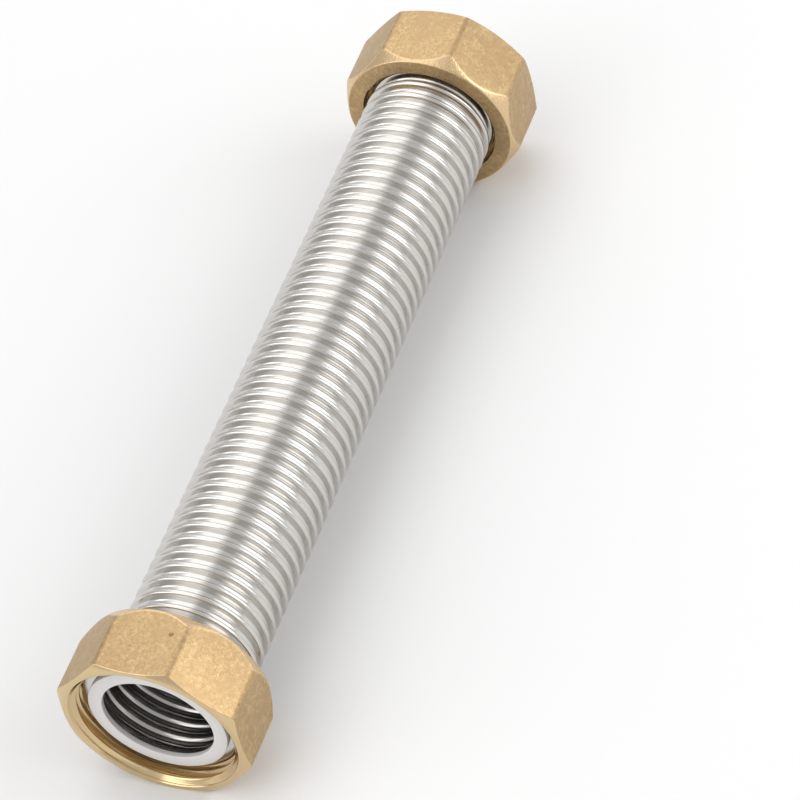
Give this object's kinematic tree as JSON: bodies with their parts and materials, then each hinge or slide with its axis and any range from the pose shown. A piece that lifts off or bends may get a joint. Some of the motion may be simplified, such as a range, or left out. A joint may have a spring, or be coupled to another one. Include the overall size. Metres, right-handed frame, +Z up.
{
  "type": "water heater connector hose",
  "caption": "Short corrugated stainless steel hose that joins two threaded pipe ends, with loose octagonal brass union nuts and flat sealing washers.",
  "frame": {"origin": "centre of the bounding box, on the surface that the nuts' lower flats rest on", "axes": "+X along the hose from the nut with the nearly bare washer to the other nut, +Z up from the flats that the hose rests on"},
  "size_m": [0.2462, 0.0512, 0.0512],
  "materials": {
    "stainless_steel": "bright rolled and formed sheet with fine rings around each corrugation",
    "cast_brass": "matte forged skin with a fine grain, bright turned mouth, thread and edges",
    "washer_grey": "matte light grey with faint turned rings"
  },
  "bodies": {
    "hose": {"corrugated_tube": "stainless_steel", "near_washer": "washer_grey", "far_washer": "washer_grey"},
    "near_union": {"near_nut": "cast_brass"},
    "far_union": {"far_nut": "cast_brass"}
  },
  "joints": [
    {"name": "near_nut_spin", "type": "hinge", "parent": "hose", "child": "near_union", "pos_m": [-0.11249, 0, 0.0256], "axis": [1, 0, 0], "continuous": true},
    {"name": "far_nut_spin", "type": "hinge", "parent": "hose", "child": "far_union", "pos_m": [0.11249, 0, 0.0256], "axis": [1, 0, 0], "continuous": true}
  ]
}
